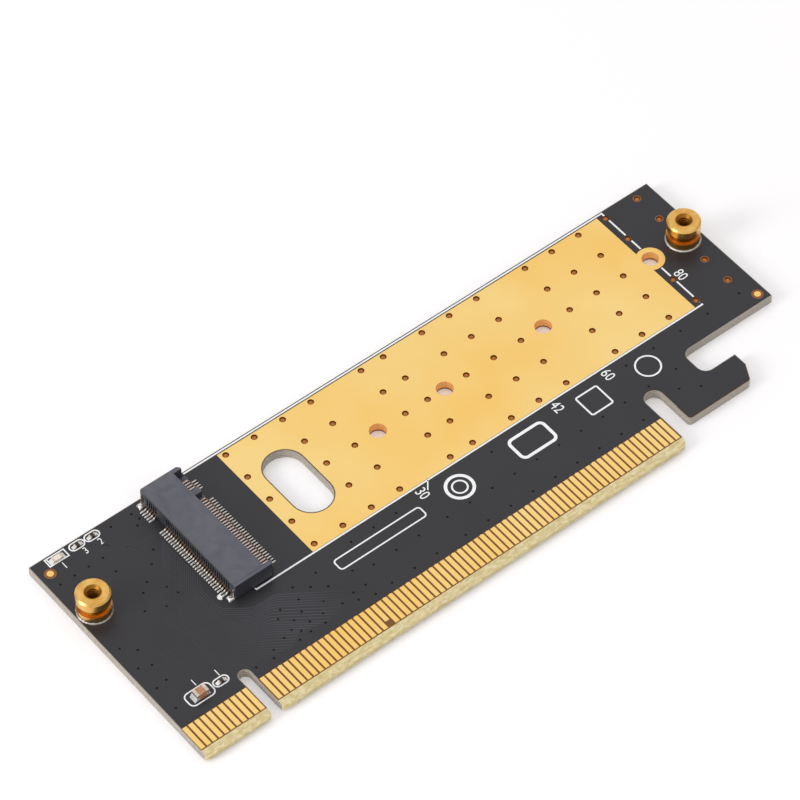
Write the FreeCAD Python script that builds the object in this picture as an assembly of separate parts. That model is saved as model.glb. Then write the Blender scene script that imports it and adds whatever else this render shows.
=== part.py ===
import FreeCAD, Part
import math
import os

# PCI Express x16 card that carries one M.2 solid state drive.
# Millimetres. +X runs along the edge contacts from pin 1, +Y from the edge contacts to the top edge,
# +Z out of the side that carries the parts. The origin is under the middle of the card.

# card
boardHeight = 40.35
tailLength = 9.0             # last screw hole to the right edge
boardThickness = 1.6
coatThickness = 0.04         # solder mask and copper, each side
maskMargin = 0.1             # bare laminate left along the routed edge
bevelLength = 1.35
bevelDepth = 0.5

# edge contacts
pinPitch = 1.0
pinCount = 82
pinsBeforeKey = 11
keyPitches = 2               # pitches taken up by the key
firstPinInset = 0.45         # left edge to the middle of pin 1
contactWidth = 0.7
contactStart = 1.4           # lower edge to the contacts
contactLength = 4.25
shortPin = 31                # presence pin, which mates last
shortPinCut = 1.0
maskGap = 0.12               # contacts to the solder mask above them
nibWidth = 0.34              # stub of trace above the contacts of each signal pair
firstPairPins = (14, 19, 23, 27, 33, 37, 41, 45, 50, 54, 58, 62, 66, 70, 74, 78)

# lower outline, heights measured from the lower edge
tongueMargin = 0.65          # last contact's middle to the end of the tongue
keyWidth = 1.9
keyDepth = 8.25
keyCornerRadius = 0.6
tongueEndRadius = 1.0
lockNotchWidth = 2.9
lockNotchDepth = 10.35
hookBottom = 3.0
hookLength = 12.6
hookCornerRadius = 0.6
hookChamferX = 1.4
hookChamferY = 2.6
hookTop = 7.9
hookGap = 4.9
hookNeck = 6.9
hookGapRadius = 1.5

# drive seat
driveLineInset = 11.4        # top edge to the drive's centre line
driveDatumInset = 21.9       # left edge to the front edge of a seated drive
driveLengths = (30, 42, 60, 80)
screwHoleRadius = 1.3
screwRingRadius = 2.15

# heat pad under the drive
padInset = 31.8              # left edge of the card to the pad
padEndInset = 1.0            # right end of the pad to the last screw hole
padTopInset = 0.65           # top edge of the card to the pad
padWidth = 21.75
viaRadius = 0.5
viaRowPitch = 5.0
viaColumns = (1, 11, 16, 25, 29, 36, 41, 46, 55, 60, 65)   # from the pad's left edge
slotColumn = 6.0             # column with the slot in its middle
edgeViaPitch = 6.0           # second column of vias beyond the pad
slotWidth = 6.25
slotLength = 12.3
slotRim = 0.18               # solder mask left round the slot

# drive connector, lengths measured from the drive's front edge
connectorEndReach = 1.55     # last contact place of the longer row to the end of the housing
connectorTop = 2.85
connectorLift = 0.12
connectorRear = 3.2
topLipReach = 2.05
armReach = 3.4
lowLipReach = 4.0
seatClearance = 0.1
armWidth = 0.7
armStep = 1.35               # height at which the arms step back
armChamfer = 0.4
edgeChamfer = 0.2
slotFloor = 1.0
slotHeight = 1.1
combDepth = 0.45             # grooves for the lower contacts
noseReach = 3.45             # low lip between its end blocks, where the contacts leave it
driveKeyOffset = 6.125       # drive's centre line to the key rib
driveKeyWidth = 1.05
driveKeyReach = 3.55

# connector contacts
finePitch = 0.5
upperPins = 38
lowerPins = 37
keyedPins = 4
upperFirstKeyed = 29         # places before the key, counted from pin 1
lowerFirstKeyed = 29
wireWidth = 0.2
wireThickness = 0.14
wireClearance = 0.04
upperFootReach = 4.3
lowerFootReach = 4.9
footLength = 0.65
upperRiserInset = 0.25
lowerRunHeight = 1.12
lowerTipReach = 0.6
upperTipReach = 1.7
bumpHeight = 0.12

# hold-down tabs of the connector
tabLength = 1.15
tabWidth = 0.9
tabThickness = 0.15
tabReach = 4.1
tabInset = 0.15              # end of the housing to the tab
finThickness = 0.2
finInset = 0.3
finHeight = 1.9
finDepth = 1.5
finClearance = 0.03

# threaded standoffs
standoffInset = 2.8
standoffHeight = 4.0
standoffRadius = 2.5
grooveRadius = 2.2
grooveStart = 1.25
grooveHeight = 1.3
standoffChamfer = 0.25
threadRadius = 0.8
countersinkRadius = 1.2
countersinkDepth = 0.4
filletReach = 0.2
filletHeight = 0.2

# alignment marks
markRadius = 0.5
markOpening = 0.9
lowMark = (1.45, 14.25)      # from the right edge and from the lower edge
highMark = (1.7, 2.7)        # from the left edge and from the top edge

# small parts: (left edge to middle, lower edge to middle), or down from the top edge where negative
ledPlace = (3.95, -1.25)
ledSize = (1.6, 0.8, 0.4)
resistorPlaces = ((8.87, 8.47), (9.95, -1.2), (7.4, -1.2))
resistorSize = (1.0, 0.5, 0.35)
capacitorPlace = (5.35, 8.45)
capacitorSize = (2.0, 1.25, 1.2)
capShare = 0.22              # length of each end cap as a share of the part
capSkin = 0.03               # end caps stand proud of the body
landReach = 0.38             # solder beyond each end
landSlope = 0.6              # height of the solder as a share of the part

connectorLength = (upperPins - 1) * finePitch + 2 * connectorEndReach
boardLength = driveDatumInset + driveLengths[-1] + tailLength
left = -boardLength / 2
right = boardLength / 2
low = -boardHeight / 2
high = boardHeight / 2
laminateTop = boardThickness - coatThickness
driveY = high - driveLineInset
driveX = left + driveDatumInset
padLeft = left + padInset
padRight = driveX + driveLengths[-1] - padEndInset
padHigh = high - padTopInset
tip = FreeCAD.Vector


def block(x0, x1, y0, y1, z0, z1):
    return Part.makeBox(x1 - x0, y1 - y0, z1 - z0, tip(x0, y0, z0))


def disc(x, y, radius, z0, z1):
    return Part.makeCylinder(radius, z1 - z0, tip(x, y, z0))


def outlineFace(corners):
    # corners are (x, y, radius); each rounded corner becomes a tangent arc
    edges = []
    starts = []
    count = len(corners)
    for i in range(count):
        x, y, radius = corners[i]
        here = tip(x, y, 0)
        before = (tip(*corners[i - 1][:2], 0) - here).normalize()
        after = (tip(*corners[(i + 1) % count][:2], 0) - here).normalize()
        if radius == 0:
            starts.append((here, here))
            continue
        half = before.getAngle(after) / 2
        reach = radius / math.tan(half)
        middle = (before + after).normalize() * (radius / math.sin(half) - radius)
        starts.append((here + before * reach, here + after * reach))
        edges.append(Part.Arc(starts[-1][0], here + middle, starts[-1][1]).toShape())
    for i in range(count):
        a = starts[i][1]
        b = starts[(i + 1) % count][0]
        if a.distanceToPoint(b) > 1e-6:
            edges.append(Part.LineSegment(a, b).toShape())
    return Part.Face(Part.Wire(Part.__sortEdges__(edges)))


def raised(face, z0, z1):
    solid = face.extrude(tip(0, 0, z1 - z0))
    solid.translate(tip(0, 0, z0))
    return solid


def profileAlongY(points, y0, y1):
    # points are (x, z)
    corners = [tip(x, y0, z) for x, z in points]
    return Part.Face(Part.makePolygon(corners + corners[:1])).extrude(tip(0, y1 - y0, 0))


def pinX(pin):
    place = pin - 1 + (keyPitches if pin > pinsBeforeKey else 0)
    return left + firstPinInset + place * pinPitch


def cardFace(inset):
    keyMiddle = (pinX(pinsBeforeKey) + pinX(pinsBeforeKey + 1)) / 2
    keyLeft = keyMiddle - keyWidth / 2
    keyRight = keyMiddle + keyWidth / 2
    tongueEnd = pinX(pinCount) + tongueMargin
    hookLeft = tongueEnd + lockNotchWidth
    hookRight = hookLeft + hookLength
    neckRight = hookLeft + hookNeck
    gapTop = low + hookTop + hookGap
    face = outlineFace([
        (left, high, 0),
        (left, low, keyCornerRadius),
        (keyLeft, low, keyCornerRadius),
        (keyLeft, low + keyDepth, keyWidth / 2),
        (keyRight, low + keyDepth, keyWidth / 2),
        (keyRight, low, keyCornerRadius),
        (tongueEnd, low, tongueEndRadius),
        (tongueEnd, low + lockNotchDepth, lockNotchWidth / 2),
        (hookLeft, low + lockNotchDepth, lockNotchWidth / 2),
        (hookLeft, low + hookBottom, hookCornerRadius),
        (hookRight - hookChamferX, low + hookBottom, hookCornerRadius),
        (hookRight, low + hookBottom + hookChamferY, 0),
        (hookRight, low + hookTop, 0),
        (neckRight, low + hookTop, hookGapRadius),
        (neckRight, gapTop, hookGapRadius),
        (right, gapTop, 0),
        (right, high, 0),
    ])
    return face.makeOffset2D(-inset) if inset else face


def slotFace(margin):
    halfWidth = slotWidth / 2 + margin
    halfLength = slotLength / 2 + margin
    x = padLeft + slotColumn
    return outlineFace([
        (x - halfWidth, driveY - halfLength, halfWidth),
        (x + halfWidth, driveY - halfLength, halfWidth),
        (x + halfWidth, driveY + halfLength, halfWidth),
        (x - halfWidth, driveY + halfLength, halfWidth),
    ])


def padVias():
    outer = (-2, 2)
    places = [(padLeft + slotColumn, driveY + row * viaRowPitch) for row in outer]
    for column in viaColumns:
        places += [(padLeft + column, driveY + row * viaRowPitch) for row in range(-2, 3)]
    return places


def edgeVias():
    first = driveX + driveLengths[-1]
    return [(x, driveY + row * viaRowPitch)
            for x in (first, first + edgeViaPitch) for row in (-2, -1, 1, 2)]


def screwPlaces():
    return [(driveX + length, driveY) for length in driveLengths]


def through(places, radius):
    return [disc(x, y, radius, -1, boardThickness + 1) for x, y in places]


def contactBand():
    # bare area of the edge contacts, open to the lower edge
    end = pinX(pinCount) + tongueMargin + lockNotchWidth / 2
    top = low + contactStart + contactLength + maskGap
    return block(left - 1, end, low - 1, top, -1, boardThickness + 1)


def circuitBoard():
    board = raised(cardFace(0), 0, laminateTop)
    board = board.cut(through(padVias() + edgeVias(), viaRadius))
    board = board.cut(through(screwPlaces(), screwHoleRadius))
    board = board.cut(raised(slotFace(0), -1, boardThickness))
    # recess that the lower solder mask and contacts lie in
    recess = raised(cardFace(maskMargin), -1, coatThickness)
    recess = recess.cut(block(left - 1, right + 1, low - 1, low + bevelLength, -2, 1))
    board = board.cut(recess)
    tongueEnd = pinX(pinCount) + tongueMargin + 0.5
    tipLow = bevelDepth
    tipHigh = boardThickness - bevelDepth
    rise = bevelDepth / bevelLength
    for z, tilt in ((tipLow, -1), (tipHigh, 1)):
        far = tilt * (bevelDepth + rise)
        wedge = Part.Face(Part.makePolygon([
            tip(left - 1, low - 1, z - tilt * rise),
            tip(left - 1, low + bevelLength + 1, z + far),
            tip(left - 1, low - 1, z + far),
            tip(left - 1, low - 1, z - tilt * rise)])).extrude(tip(tongueEnd - left + 1, 0, 0))
        board = board.cut(wedge)
    return board


def maskTop():
    z0, z1 = laminateTop, boardThickness
    mask = raised(cardFace(maskMargin), z0, z1).cut(contactBand())
    mask = mask.cut(padPlate(z0 - 1, z1 + 1))
    mask = mask.cut(through(edgeVias(), viaRadius))
    mask = mask.cut([disc(x, y, markOpening, z0 - 1, z1 + 1) for x, y in markPlaces()])
    rim = raised(slotFace(slotRim), z0, z1).cut(raised(slotFace(0), z0 - 1, z1 + 1))
    return Part.makeCompound(mask.Solids + rim.Solids)


def maskBottom():
    # on this side the coat closes the small plated holes
    mask = raised(cardFace(maskMargin), 0, coatThickness).cut(contactBand())
    mask = mask.cut(through(screwPlaces(), screwRingRadius))
    return mask.cut(raised(slotFace(0), -1, boardThickness))


def edgeContacts(z):
    contacts = []
    half = contactWidth / 2
    end = low + contactStart + contactLength
    for pin in range(1, pinCount + 1):
        start = low + contactStart + (shortPinCut if pin == shortPin else 0)
        x = pinX(pin)
        corners = [(x - half, start, 0), (x + half, start, 0), (x + half, end, 0)]
        if pin in firstPairPins or pin - 1 in firstPairPins:
            corners += [(x + nibWidth / 2, end, 0), (x, end + maskGap, 0), (x - nibWidth / 2, end, 0)]
        corners.append((x - half, end, 0))
        contacts.append(raised(outlineFace(corners), z, z + coatThickness))
    return Part.makeCompound(contacts)


def padPlate(z0, z1):
    plate = block(padLeft, padRight, padHigh - padWidth, padHigh, z0, z1)
    lastScrew = screwPlaces()[-1]
    return plate.fuse(disc(*lastScrew, screwRingRadius, z0, z1)).removeSplitter()


def thermalPad():
    pad = padPlate(laminateTop, boardThickness)
    pad = pad.cut(through(padVias(), viaRadius))
    pad = pad.cut(through(screwPlaces(), screwHoleRadius))
    return pad.cut(raised(slotFace(slotRim), 0, boardThickness + 1))


def screwHoleRings():
    # plated rings on the underside
    return Part.makeCompound([
        disc(x, y, screwRingRadius, 0, coatThickness).cut(disc(x, y, screwHoleRadius, -1, 1))
        for x, y in screwPlaces()])


def markPlaces():
    return [(right - lowMark[0], low + lowMark[1]), (left + highMark[0], high - highMark[1])]


def alignmentMarks():
    return Part.makeCompound([disc(x, y, markRadius, laminateTop, boardThickness)
                              for x, y in markPlaces()])


def upperPinYs():
    first = driveY - (upperPins - 1) * finePitch / 2
    keyed = range(upperFirstKeyed, upperFirstKeyed + keyedPins)
    return [first + i * finePitch for i in range(upperPins) if i not in keyed]


def lowerPinYs():
    first = driveY - (lowerPins - 1) * finePitch / 2
    keyed = range(lowerFirstKeyed, lowerFirstKeyed + keyedPins)
    return [first + i * finePitch for i in range(lowerPins) if i not in keyed]


def tabYs():
    # (lower edge of the tab, middle of its fin) at each end of the connector
    reach = connectorLength / 2
    return ((driveY - reach + tabInset, driveY - reach + finInset),
            (driveY + reach - tabInset - tabWidth, driveY + reach - finInset))


def finBlock(finY, clearance):
    half = finThickness / 2 + clearance
    rear = driveX - connectorRear
    z0 = boardThickness + (tabThickness / 2 if clearance == 0 else 0)
    return block(rear - 0.2, rear + finDepth + clearance, finY - half, finY + half,
                 z0, boardThickness + finHeight + clearance)


def connectorHousing():
    base = boardThickness + connectorLift
    top = boardThickness + connectorTop
    floor = boardThickness + slotFloor
    roof = floor + slotHeight
    rear = driveX - connectorRear
    seat = driveX - seatClearance
    lipFront = driveX + topLipReach
    lowFront = driveX + lowLipReach
    y0 = driveY - connectorLength / 2
    y1 = driveY + connectorLength / 2
    body = profileAlongY([
        (rear, base), (lowFront, base), (lowFront, floor - edgeChamfer),
        (lowFront - edgeChamfer, floor), (seat, floor), (seat, roof),
        (lipFront - edgeChamfer, roof), (lipFront, roof + edgeChamfer), (lipFront, top),
        (rear + edgeChamfer, top), (rear, top - edgeChamfer)], y0, y1)
    armFront = driveX + armReach
    arm = [(rear, base), (lowFront, base), (lowFront, floor - edgeChamfer),
           (armFront, boardThickness + armStep), (armFront, top),
           (rear + edgeChamfer, top), (rear, top - edgeChamfer)]
    body = body.fuse([profileAlongY(arm, y0, y0 + armWidth), profileAlongY(arm, y1 - armWidth, y1)])
    keyY = driveY + driveKeyOffset
    body = body.fuse(block(seat - 0.1, driveX + driveKeyReach, keyY - driveKeyWidth / 2,
                           keyY + driveKeyWidth / 2, floor, roof + 0.1)).removeSplitter()
    # clipped outer corners of the arms
    for y, inward in ((y0, 1), (y1, -1)):
        corner = [tip(armFront - armChamfer, y, 0), tip(lowFront + 1, y, 0),
                  tip(lowFront + 1, y + inward * (lowFront + 1 - armFront + armChamfer), 0)]
        clip = Part.Face(Part.makePolygon(corner + corner[:1])).extrude(tip(0, 0, 2 * top))
        body = body.cut(clip)
    half = wireWidth / 2 + wireClearance
    wireTop = floor + slotHeight
    combs = [block(rear - 1, seat + 0.1, y - half, y + half, 0, wireTop) for y in upperPinYs()]
    for y in lowerPinYs():
        combs.append(block(driveX + lowerTipReach - 0.3, lowFront, y - half, y + half,
                           floor - combDepth, floor + 0.3))
    # open front under each run of lower contacts
    for run in (lowerPinYs()[:lowerFirstKeyed], lowerPinYs()[lowerFirstKeyed:]):
        combs.append(block(driveX + noseReach, lowFront + 1, run[0] - finePitch / 2,
                           run[-1] + finePitch / 2, 0, floor + 0.3))
    body = body.cut(combs)
    return body.cut([finBlock(finY, finClearance) for tabY, finY in tabYs()])


def wireProfile(path):
    # path is the middle line of a stamped contact in X and Z, thickened on both sides
    half = wireThickness / 2
    sides = ([], [])
    for i, (x, z) in enumerate(path):
        before = path[max(i - 1, 0)]
        after = path[min(i + 1, len(path) - 1)]
        along1 = unit(x - before[0], z - before[1]) if i else None
        along2 = unit(after[0] - x, after[1] - z) if i < len(path) - 1 else None
        along1 = along1 or along2
        along2 = along2 or along1
        nx = -(along1[1] + along2[1])
        nz = along1[0] + along2[0]
        scale = half / ((nx * -along1[1] + nz * along1[0]) or 1)
        sides[0].append((x + nx * scale, z + nz * scale))
        sides[1].append((x - nx * scale, z - nz * scale))
    return sides[0] + sides[1][::-1]


def unit(x, z):
    size = math.hypot(x, z)
    return (x / size, z / size)


def upperContacts():
    footZ = boardThickness + wireThickness / 2
    footX = driveX - upperFootReach
    riserX = driveX - connectorRear + upperRiserInset
    roof = boardThickness + slotFloor + slotHeight
    beamZ = roof - wireThickness / 2 - wireClearance
    path = [(footX, footZ), (footX + footLength, footZ), (riserX, footZ + 0.5), (riserX, beamZ),
            (driveX + upperTipReach - 0.6, beamZ - bumpHeight / 2),
            (driveX + upperTipReach - 0.3, beamZ - bumpHeight),
            (driveX + upperTipReach, beamZ)]
    profile = wireProfile(path)
    return Part.makeCompound([profileAlongY(profile, y - wireWidth / 2, y + wireWidth / 2)
                              for y in upperPinYs()])


def lowerContacts():
    footZ = boardThickness + wireThickness / 2
    footX = driveX + lowerFootReach
    runZ = boardThickness + lowerRunHeight
    path = [(footX, footZ), (footX - footLength, footZ), (driveX + noseReach + wireThickness, runZ),
            (driveX + lowerTipReach + 0.6, runZ), (driveX + lowerTipReach + 0.3, runZ + bumpHeight),
            (driveX + lowerTipReach, runZ)]
    profile = wireProfile(path)
    return Part.makeCompound([profileAlongY(profile, y - wireWidth / 2, y + wireWidth / 2)
                              for y in lowerPinYs()])


def connectorAnchor(end):
    tabY, finY = tabYs()[end]
    x = driveX - tabReach
    tab = block(x, x + tabLength, tabY, tabY + tabWidth, boardThickness, boardThickness + tabThickness)
    return tab.cut(connectorHousing()).fuse(finBlock(finY, 0)).removeSplitter()


def standoff(x):
    zs = boardThickness
    top = zs + standoffHeight
    points = [
        (threadRadius, zs), (standoffRadius, zs), (standoffRadius, zs + grooveStart),
        (grooveRadius, zs + grooveStart), (grooveRadius, zs + grooveStart + grooveHeight),
        (standoffRadius, zs + grooveStart + grooveHeight), (standoffRadius, top - standoffChamfer),
        (standoffRadius - standoffChamfer, top), (countersinkRadius, top),
        (threadRadius, top - countersinkDepth)]
    return turned(points, x)


def standoffSolder(x):
    zs = boardThickness
    return turned([(standoffRadius, zs), (standoffRadius + filletReach, zs),
                   (standoffRadius, zs + filletHeight)], x)


def turned(points, x):
    corners = [tip(r, 0, z) for r, z in points]
    solid = Part.Face(Part.makePolygon(corners + corners[:1])).revolve(tip(0, 0, 0), tip(0, 0, 1), 360)
    solid.translate(tip(x, driveY, 0))
    return solid


def partPlace(place):
    x, y = place
    return left + x, (high if y < 0 else low) + y


def chipBody(place, size):
    x, y = partPlace(place)
    length, width, height = size
    inner = length / 2 - capShare * length
    return block(x - inner, x + inner, y - width / 2, y + width / 2,
                 boardThickness + capSkin, boardThickness + height)


def chipTerminals(place, size):
    x, y = partPlace(place)
    length, width, height = size
    inner = length / 2 - capShare * length
    caps = []
    for side in (-1, 1):
        x0, x1 = sorted((x + side * inner, x + side * length / 2))
        caps.append(block(x0, x1, y - width / 2 - capSkin, y + width / 2 + capSkin,
                          boardThickness, boardThickness + height + capSkin))
    return Part.makeCompound(caps)


def chipSolder(place, size):
    # a sloping fillet of solder outside each end cap
    x, y = partPlace(place)
    length, width, height = size
    fillets = []
    for side in (-1, 1):
        near = x + side * length / 2
        far = near + side * landReach
        points = [(near, boardThickness), (far, boardThickness), (far, boardThickness + 0.05),
                  (near, boardThickness + landSlope * height)]
        fillets.append(profileAlongY(points, y - width / 2 - capSkin, y + width / 2 + capSkin))
    return fillets


def partSolder():
    fillets = chipSolder(ledPlace, ledSize) + chipSolder(capacitorPlace, capacitorSize)
    for place in resistorPlaces:
        fillets += chipSolder(place, resistorSize)
    return Part.makeCompound(fillets)


def allNodes():
    nodes = {
        "circuit_board": circuitBoard(),
        "solder_mask_top": maskTop(),
        "solder_mask_bottom": maskBottom(),
        "edge_contacts_top": edgeContacts(laminateTop),
        "edge_contacts_bottom": edgeContacts(0),
        "thermal_pad": thermalPad(),
        "screw_hole_rings": screwHoleRings(),
        "alignment_marks": alignmentMarks(),
        "m2_housing": connectorHousing(),
        "m2_upper_contacts": upperContacts(),
        "m2_lower_contacts": lowerContacts(),
        "m2_anchor_near": connectorAnchor(0),
        "m2_anchor_far": connectorAnchor(1),
        "standoff_left": standoff(left + standoffInset),
        "standoff_right": standoff(right - standoffInset),
        "standoff_solder_left": standoffSolder(left + standoffInset),
        "standoff_solder_right": standoffSolder(right - standoffInset),
        "led_body": chipBody(ledPlace, ledSize),
        "led_terminals": chipTerminals(ledPlace, ledSize),
        "capacitor_body": chipBody(capacitorPlace, capacitorSize),
        "capacitor_terminals": chipTerminals(capacitorPlace, capacitorSize),
        "part_solder": partSolder(),
    }
    for number, place in enumerate(resistorPlaces, 1):
        nodes[f"resistor_{number}_body"] = chipBody(place, resistorSize)
        nodes[f"resistor_{number}_terminals"] = chipTerminals(place, resistorSize)
    return nodes


os.makedirs("parts", exist_ok=True)
for name, shape in allNodes().items():
    shape.exportStep(f"parts/{name}.step")
    print(name, len(shape.Solids), "solids", round(shape.Volume, 3), "mm3", shape.isValid())
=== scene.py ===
import math
import random
import bmesh
import bpy
from mathutils import Matrix, Vector


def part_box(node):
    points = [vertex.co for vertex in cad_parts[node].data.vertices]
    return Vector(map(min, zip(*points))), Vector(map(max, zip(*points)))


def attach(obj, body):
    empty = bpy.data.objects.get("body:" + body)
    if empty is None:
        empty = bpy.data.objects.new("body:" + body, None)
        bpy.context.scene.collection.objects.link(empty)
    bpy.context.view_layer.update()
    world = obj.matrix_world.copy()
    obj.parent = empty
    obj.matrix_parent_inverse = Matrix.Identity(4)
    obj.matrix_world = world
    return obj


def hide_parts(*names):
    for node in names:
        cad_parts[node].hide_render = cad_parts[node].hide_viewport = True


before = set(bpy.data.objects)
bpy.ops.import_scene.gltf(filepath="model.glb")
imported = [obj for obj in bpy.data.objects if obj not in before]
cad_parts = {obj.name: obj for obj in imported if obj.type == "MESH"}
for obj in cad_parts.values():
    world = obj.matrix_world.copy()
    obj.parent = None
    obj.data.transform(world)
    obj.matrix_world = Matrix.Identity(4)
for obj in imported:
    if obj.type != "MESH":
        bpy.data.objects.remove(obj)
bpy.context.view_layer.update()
mm = 0.001


def linear(hexColour):
    parts = [int(hexColour[i:i + 2], 16) / 255 for i in (1, 3, 5)]
    return tuple(c / 12.92 if c <= 0.04045 else ((c + 0.055) / 1.055) ** 2.4 for c in parts) + (1.0,)


def addNode(tree, kind, settings=None, links=None):
    node = tree.nodes.new(kind)
    for name, value in (settings or {}).items():
        if name == "stops":                       # colour ramp: [(place, colour), ...]
            ramp = node.color_ramp.elements
            while len(ramp) < len(value):
                ramp.new(1.0)
            for stop, (place, colour) in zip(ramp, value):
                stop.position, stop.color = place, linear(colour)
        elif isinstance(name, int) or name in node.inputs:
            node.inputs[name].default_value = linear(value) if isinstance(value, str) else value
        else:
            setattr(node, name, value)
    for name, socket in (links or {}).items():
        tree.links.new(socket, node.inputs[name])
    return node


def newMaterial(name, surface):
    material = bpy.data.materials.new(name)
    material.use_nodes = True
    tree = material.node_tree
    tree.nodes.clear()
    output = addNode(tree, "ShaderNodeOutputMaterial")
    shader = addNode(tree, "ShaderNodeBsdfPrincipled", surface)
    tree.links.new(shader.outputs["BSDF"], output.inputs["Surface"])
    place = addNode(tree, "ShaderNodeTexCoord").outputs["Object"]
    return material, tree, shader, place


def perMillimetre(sizeMm):
    return 1.0 / (sizeMm * mm)                    # texture scale for a feature of this size


def waveScale(periodMm):
    return perMillimetre(periodMm) * math.pi / 10   # a wave repeats every pi/10 at scale 1


def addNoise(tree, place, sizeMm, detail, **more):
    settings = {"Scale": perMillimetre(sizeMm), "Detail": detail}
    settings.update(more)
    return addNode(tree, "ShaderNodeTexNoise", settings, {"Vector": place})


def addRamp(tree, share, *stops):
    return addNode(tree, "ShaderNodeValToRGB", {"stops": stops}, {"Fac": share})


def addMath(tree, operation, *values):
    # sockets are linked, and numbers are set
    links = {i: value for i, value in enumerate(values) if isinstance(value, bpy.types.NodeSocket)}
    settings = {i: value for i, value in enumerate(values) if i not in links}
    settings["operation"] = operation
    return addNode(tree, "ShaderNodeMath", settings, links)


def addMix(tree, share, first, second):
    # each colour is a hex value or a socket
    settings, links = {"data_type": "RGBA"}, {0: share}
    for i, colour in ((6, first), (7, second)):
        (settings if isinstance(colour, str) else links)[i] = colour
    return addNode(tree, "ShaderNodeMix", settings, links)


def addBump(tree, shader, height, depthMm, strength=1.0):
    bump = addNode(tree, "ShaderNodeBump", {"Strength": strength, "Distance": depthMm * mm},
                   {"Height": height})
    tree.links.new(bump.outputs["Normal"], shader.inputs["Normal"])
    return bump


def useOn(material, *names):
    for name in names:
        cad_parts[name].data.set_sharp_from_angle(angle=math.radians(32))
        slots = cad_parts[name].data.materials
        for i in range(len(slots)):
            slots[i] = material
        if not len(slots):
            slots.append(material)


def makePiece(name, mesh, material, smooth=False):
    if isinstance(mesh, bmesh.types.BMesh):
        bmesh.ops.recalc_face_normals(mesh, faces=mesh.faces)
        data = bpy.data.meshes.new(name)
        mesh.to_mesh(data)
        mesh.free()
    else:
        data = mesh
    for face in data.polygons:
        face.use_smooth = smooth
    if smooth:
        data.set_sharp_from_angle(angle=math.radians(50))
    data.materials.clear()
    data.materials.append(material)
    piece = bpy.data.objects.new(name, data)
    bpy.context.scene.collection.objects.link(piece)
    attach(piece, "root")
    return piece


def centreOf(name):
    low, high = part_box(name)
    return (low + high) / 2


def islandsOf(name, keepFace=lambda face: True):
    # the separate patches of a node's mesh, as lists of points
    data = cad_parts[name].data
    parent = {}

    def find(a):
        while parent[a] != a:
            parent[a] = parent[parent[a]]
            a = parent[a]
        return a

    def keyOf(v):
        return tuple(round(c / (0.001 * mm)) for c in data.vertices[v].co)

    for face in data.polygons:
        if keepFace(face):
            keys = [keyOf(v) for v in face.vertices]
            for key in keys:
                parent.setdefault(key, key)
            for key in keys[1:]:
                parent[find(keys[0])] = find(key)
    groups = {}
    for key in parent:
        groups.setdefault(find(key), []).append(Vector(key) * 0.001 * mm)
    return list(groups.values())


def boxOf(points):
    low = Vector([min(p[i] for p in points) for i in range(3)])
    high = Vector([max(p[i] for p in points) for i in range(3)])
    return low, high


def roundHoles(name, radiusMm, slackMm=0.06):
    # centres of the node's upright round walls of this radius
    found = []
    for points in islandsOf(name, lambda face: abs(face.normal.z) < 0.1):
        low, high = boxOf(points)
        middle, size = (low + high) / 2, high - low
        if abs(size.x - size.y) < slackMm * mm and abs(size.x / 2 - radiusMm * mm) < slackMm * mm:
            found.append(middle)
    return sorted(found, key=lambda p: (round(p.x, 6), p.y))


def arcPoints(centre, radius, start, end, steps):
    angles = [math.radians(start + (end - start) * i / steps) for i in range(steps + 1)]
    return [Vector((centre[0] + radius * math.cos(a), centre[1] + radius * math.sin(a))) for a in angles]


def pill(x0, x1, y0, y1, steps=8):
    radius = (y1 - y0) / 2
    middle = (y0 + y1) / 2
    return arcPoints((x1 - radius, middle), radius, -90, 90, steps) + arcPoints((x0 + radius, middle),
                                                                                radius, 90, 270, steps)


def layStroke(mesh, points, width, low, high, closed=False, crown=0.0):
    # a flat band along a line, with mitred corners
    points = [Vector(p[:2]) for p in points]
    count = len(points)
    rows = []
    for i, here in enumerate(points):
        before = points[i - 1] if i or closed else here
        after = points[(i + 1) % count] if i < count - 1 or closed else here
        into = (here - before).normalized() if (here - before).length else (after - here).normalized()
        out = (after - here).normalized() if (after - here).length else into
        side = Vector((-into.y - out.y, into.x + out.x))
        side = side.normalized() if side.length > 1e-6 else Vector((-into.y, into.x))
        reach = width / 2 / max(0.35, side.dot(Vector((-into.y, into.x))))
        inner, outer = here - side * reach, here + side * reach
        inset = 0.28 * width if crown else 0.0
        row = [mesh.verts.new((inner.x, inner.y, low)), mesh.verts.new((outer.x, outer.y, low))]
        if crown:
            topIn, topOut = here - side * (reach - inset), here + side * (reach - inset)
            row.insert(1, mesh.verts.new((topIn.x, topIn.y, high)))
            row.insert(2, mesh.verts.new((topOut.x, topOut.y, high)))
        else:
            row.insert(1, mesh.verts.new((inner.x, inner.y, high)))
            row.insert(2, mesh.verts.new((outer.x, outer.y, high)))
        rows.append(row)
    for i in range(count if closed else count - 1):
        a, b = rows[i], rows[(i + 1) % count]
        for j in range(4):
            mesh.faces.new((a[j], b[j], b[(j + 1) % 4], a[(j + 1) % 4]))
    if not closed:
        mesh.faces.new(rows[0])
        mesh.faces.new(rows[-1])


def layDisc(mesh, centre, rings, steps=24):
    # rings = [(radius, height), ...] from the outside in, joined ring to ring, and left open at the middle
    # and below
    loops = []
    for radius, height in rings:
        loops.append([mesh.verts.new((centre[0] + radius * math.cos(2 * math.pi * i / steps),
                                      centre[1] + radius * math.sin(2 * math.pi * i / steps), height))
                      for i in range(steps)])
    for outer, inner in zip(loops, loops[1:]):
        for i in range(steps):
            mesh.faces.new((outer[i], outer[(i + 1) % steps], inner[(i + 1) % steps], inner[i]))
    return loops


def layTube(mesh, centre, profile, steps=40):
    # a closed section (radius, height) turned about an upright axis
    loops = layDisc(mesh, centre, profile + profile[:1], steps)
    bmesh.ops.remove_doubles(mesh, verts=loops[0] + loops[-1], dist=1e-9)


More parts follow.
